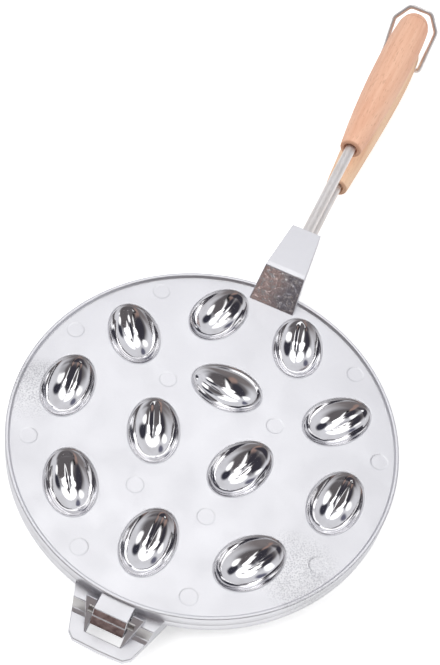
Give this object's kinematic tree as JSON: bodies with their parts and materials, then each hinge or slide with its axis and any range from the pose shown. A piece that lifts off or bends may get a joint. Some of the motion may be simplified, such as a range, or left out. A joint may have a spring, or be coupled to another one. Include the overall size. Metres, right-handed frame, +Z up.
{
  "type": "walnut cookie iron",
  "caption": "Hinged aluminium baking iron with two round plates, walnut-shaped moulds, long wooden handles and a wire lock bail.",
  "frame": {"origin": "on the plates' axis at the level of the surface that the iron stands on", "axes": "+Y from the plates to the handles, +Z up through the closed plates, +X to the right when looking along +Y"},
  "size_m": [0.198, 0.4513, 0.0446],
  "materials": {
    "cast_aluminium": "satin casting with polished hollows",
    "steel": "satin",
    "beech": "oiled",
    "wire": "drawn wire"
  },
  "bodies": {
    "lower_half": {"lower_plate": "cast_aluminium", "hinge_pin": "steel", "lower_rod": "steel", "lower_handle": "beech"},
    "upper_half": {"upper_plate": "cast_aluminium", "upper_rod": "steel", "upper_handle": "beech"},
    "bail": {"lock_bail": "wire"}
  },
  "joints": [
    {"name": "plate_hinge", "type": "hinge", "parent": "lower_half", "child": "upper_half", "pos_m": [0, -0.1047, 0.018], "axis": [1, 0, 0], "range_deg": [0, 100]},
    {"name": "bail_swing", "type": "hinge", "parent": "lower_half", "child": "bail", "pos_m": [0, 0.3085, 0.011], "axis": [-1, 0, 0], "range_deg": [-26, 190]}
  ]
}
